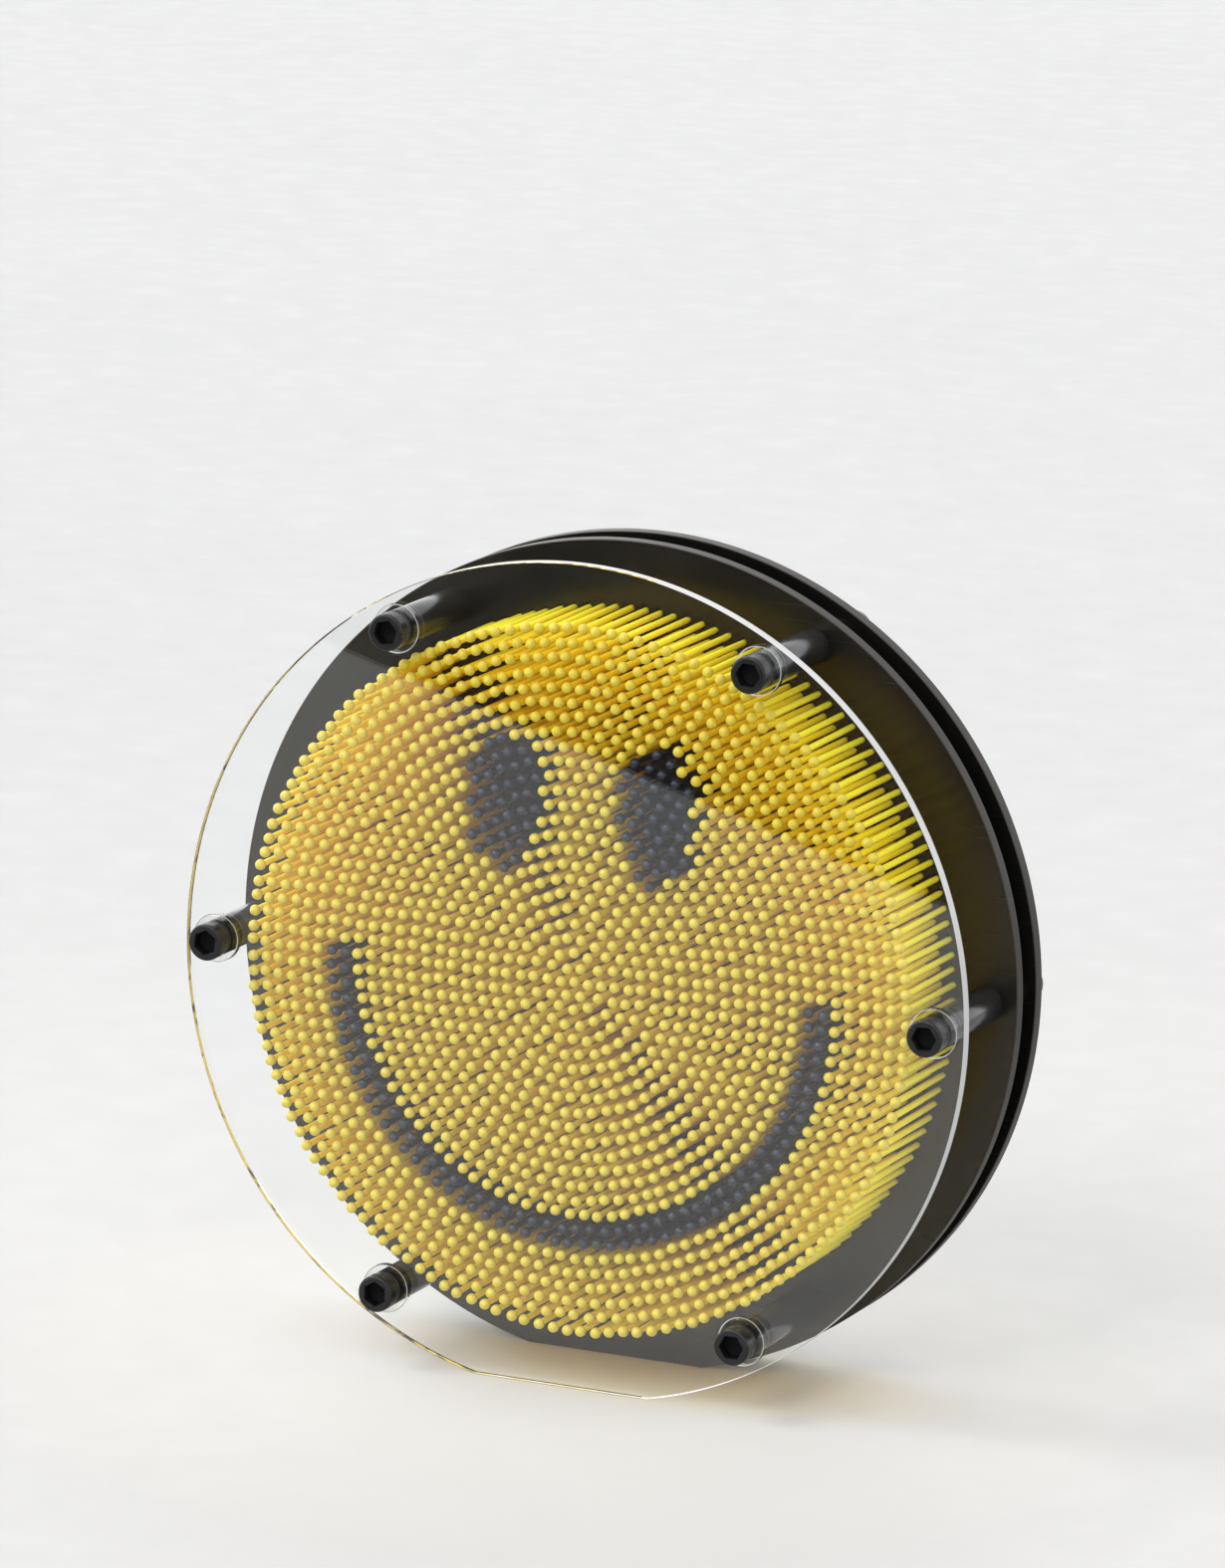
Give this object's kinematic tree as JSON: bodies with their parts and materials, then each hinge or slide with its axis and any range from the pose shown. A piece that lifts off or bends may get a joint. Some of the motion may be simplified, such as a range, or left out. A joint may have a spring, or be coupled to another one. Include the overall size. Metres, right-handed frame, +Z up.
{
  "type": "pin art impression toy",
  "caption": "Round upright pin art toy: sliding ball-headed pins between a clear cover and two drilled black plates, drawing a plain smiling face.",
  "frame": {"origin": "on the ground, under the middle of the bounding box", "axes": "+Z up, -Y out of the clear front, +X to the right as seen from the front"},
  "size_m": [0.2032, 0.0628, 0.2006],
  "materials": {
    "clear_cover": "clear polished acrylic sheet with bright edges",
    "clear_bushing": "clear moulded plastic",
    "black_plate": "glossy black acrylic sheet with satin cut edges",
    "black_bolt": "semi-gloss black",
    "black_sleeve": "semi-gloss black",
    "black_pin": "semi-gloss black moulded plastic",
    "yellow_pin": "satin yellow moulded plastic"
  },
  "bodies": {
    "frame": {"clear_cover": "clear_cover", "front_plate_core": "black_plate", "front_plate_rim": "black_plate", "rear_plate_core": "black_plate", "rear_plate_rim": "black_plate", "socket_bolt_1": "black_bolt", "socket_bolt_2": "black_bolt", "socket_bolt_3": "black_bolt", "socket_bolt_4": "black_bolt", "socket_bolt_5": "black_bolt", "socket_bolt_6": "black_bolt", "clear_bushing_1": "clear_bushing", "clear_bushing_2": "clear_bushing", "clear_bushing_3": "clear_bushing", "clear_bushing_4": "clear_bushing", "clear_bushing_5": "clear_bushing", "clear_bushing_6": "clear_bushing", "standoff_sleeve_1": "black_sleeve", "standoff_sleeve_2": "black_sleeve", "standoff_sleeve_3": "black_sleeve", "standoff_sleeve_4": "black_sleeve", "standoff_sleeve_5": "black_sleeve", "standoff_sleeve_6": "black_sleeve", "plate_spacer_1": "black_sleeve", "plate_spacer_2": "black_sleeve", "plate_spacer_3": "black_sleeve", "plate_spacer_4": "black_sleeve", "plate_spacer_5": "black_sleeve", "plate_spacer_6": "black_sleeve", "barrel_nut_1": "black_sleeve", "barrel_nut_2": "black_sleeve", "barrel_nut_3": "black_sleeve", "barrel_nut_4": "black_sleeve", "barrel_nut_5": "black_sleeve", "barrel_nut_6": "black_sleeve"},
    "left_eye_pins": {"left_eye_pins": "black_pin"},
    "right_eye_pins": {"right_eye_pins": "black_pin"},
    "mouth_pins": {"mouth_pins": "black_pin"},
    "core_pins_1": {"core_pins_1": "yellow_pin"},
    "core_pins_2": {"core_pins_2": "yellow_pin"},
    "core_pins_3": {"core_pins_3": "yellow_pin"},
    "core_pins_4": {"core_pins_4": "yellow_pin"},
    "inner_pins_1": {"inner_pins_1": "yellow_pin"},
    "inner_pins_2": {"inner_pins_2": "yellow_pin"},
    "inner_pins_3": {"inner_pins_3": "yellow_pin"},
    "inner_pins_4": {"inner_pins_4": "yellow_pin"},
    "inner_pins_5": {"inner_pins_5": "yellow_pin"},
    "inner_pins_6": {"inner_pins_6": "yellow_pin"},
    "middle_pins_1": {"middle_pins_1": "yellow_pin"},
    "middle_pins_2": {"middle_pins_2": "yellow_pin"},
    "middle_pins_3": {"middle_pins_3": "yellow_pin"},
    "middle_pins_4": {"middle_pins_4": "yellow_pin"},
    "middle_pins_5": {"middle_pins_5": "yellow_pin"},
    "middle_pins_6": {"middle_pins_6": "yellow_pin"},
    "rim_pins_1": {"rim_pins_1": "yellow_pin"},
    "rim_pins_2": {"rim_pins_2": "yellow_pin"},
    "rim_pins_3": {"rim_pins_3": "yellow_pin"},
    "rim_pins_4": {"rim_pins_4": "yellow_pin"},
    "rim_pins_5": {"rim_pins_5": "yellow_pin"},
    "rim_pins_6": {"rim_pins_6": "yellow_pin"}
  },
  "joints": [
    {"name": "left_eye_pins_slide", "type": "slide", "parent": "frame", "child": "left_eye_pins", "axis": [0, 1, 0], "range_m": [0, 0.0259]},
    {"name": "right_eye_pins_slide", "type": "slide", "parent": "frame", "child": "right_eye_pins", "axis": [0, 1, 0], "range_m": [0, 0.0259]},
    {"name": "mouth_pins_slide", "type": "slide", "parent": "frame", "child": "mouth_pins", "axis": [0, 1, 0], "range_m": [0, 0.0259]},
    {"name": "core_pins_1_slide", "type": "slide", "parent": "frame", "child": "core_pins_1", "axis": [0, 1, 0], "range_m": [0, 0.0259]},
    {"name": "core_pins_2_slide", "type": "slide", "parent": "frame", "child": "core_pins_2", "axis": [0, 1, 0], "range_m": [0, 0.0259]},
    {"name": "core_pins_3_slide", "type": "slide", "parent": "frame", "child": "core_pins_3", "axis": [0, 1, 0], "range_m": [0, 0.0259]},
    {"name": "core_pins_4_slide", "type": "slide", "parent": "frame", "child": "core_pins_4", "axis": [0, 1, 0], "range_m": [0, 0.0259]},
    {"name": "inner_pins_1_slide", "type": "slide", "parent": "frame", "child": "inner_pins_1", "axis": [0, 1, 0], "range_m": [0, 0.0259]},
    {"name": "inner_pins_2_slide", "type": "slide", "parent": "frame", "child": "inner_pins_2", "axis": [0, 1, 0], "range_m": [0, 0.0259]},
    {"name": "inner_pins_3_slide", "type": "slide", "parent": "frame", "child": "inner_pins_3", "axis": [0, 1, 0], "range_m": [0, 0.0259]},
    {"name": "inner_pins_4_slide", "type": "slide", "parent": "frame", "child": "inner_pins_4", "axis": [0, 1, 0], "range_m": [0, 0.0259]},
    {"name": "inner_pins_5_slide", "type": "slide", "parent": "frame", "child": "inner_pins_5", "axis": [0, 1, 0], "range_m": [0, 0.0259]},
    {"name": "inner_pins_6_slide", "type": "slide", "parent": "frame", "child": "inner_pins_6", "axis": [0, 1, 0], "range_m": [0, 0.0259]},
    {"name": "middle_pins_1_slide", "type": "slide", "parent": "frame", "child": "middle_pins_1", "axis": [0, 1, 0], "range_m": [0, 0.0259]},
    {"name": "middle_pins_2_slide", "type": "slide", "parent": "frame", "child": "middle_pins_2", "axis": [0, 1, 0], "range_m": [0, 0.0259]},
    {"name": "middle_pins_3_slide", "type": "slide", "parent": "frame", "child": "middle_pins_3", "axis": [0, 1, 0], "range_m": [0, 0.0259]},
    {"name": "middle_pins_4_slide", "type": "slide", "parent": "frame", "child": "middle_pins_4", "axis": [0, 1, 0], "range_m": [0, 0.0259]},
    {"name": "middle_pins_5_slide", "type": "slide", "parent": "frame", "child": "middle_pins_5", "axis": [0, 1, 0], "range_m": [0, 0.0259]},
    {"name": "middle_pins_6_slide", "type": "slide", "parent": "frame", "child": "middle_pins_6", "axis": [0, 1, 0], "range_m": [0, 0.0259]},
    {"name": "rim_pins_1_slide", "type": "slide", "parent": "frame", "child": "rim_pins_1", "axis": [0, 1, 0], "range_m": [0, 0.0259]},
    {"name": "rim_pins_2_slide", "type": "slide", "parent": "frame", "child": "rim_pins_2", "axis": [0, 1, 0], "range_m": [0, 0.0259]},
    {"name": "rim_pins_3_slide", "type": "slide", "parent": "frame", "child": "rim_pins_3", "axis": [0, 1, 0], "range_m": [0, 0.0259]},
    {"name": "rim_pins_4_slide", "type": "slide", "parent": "frame", "child": "rim_pins_4", "axis": [0, 1, 0], "range_m": [0, 0.0259]},
    {"name": "rim_pins_5_slide", "type": "slide", "parent": "frame", "child": "rim_pins_5", "axis": [0, 1, 0], "range_m": [0, 0.0259]},
    {"name": "rim_pins_6_slide", "type": "slide", "parent": "frame", "child": "rim_pins_6", "axis": [0, 1, 0], "range_m": [0, 0.0259]}
  ]
}
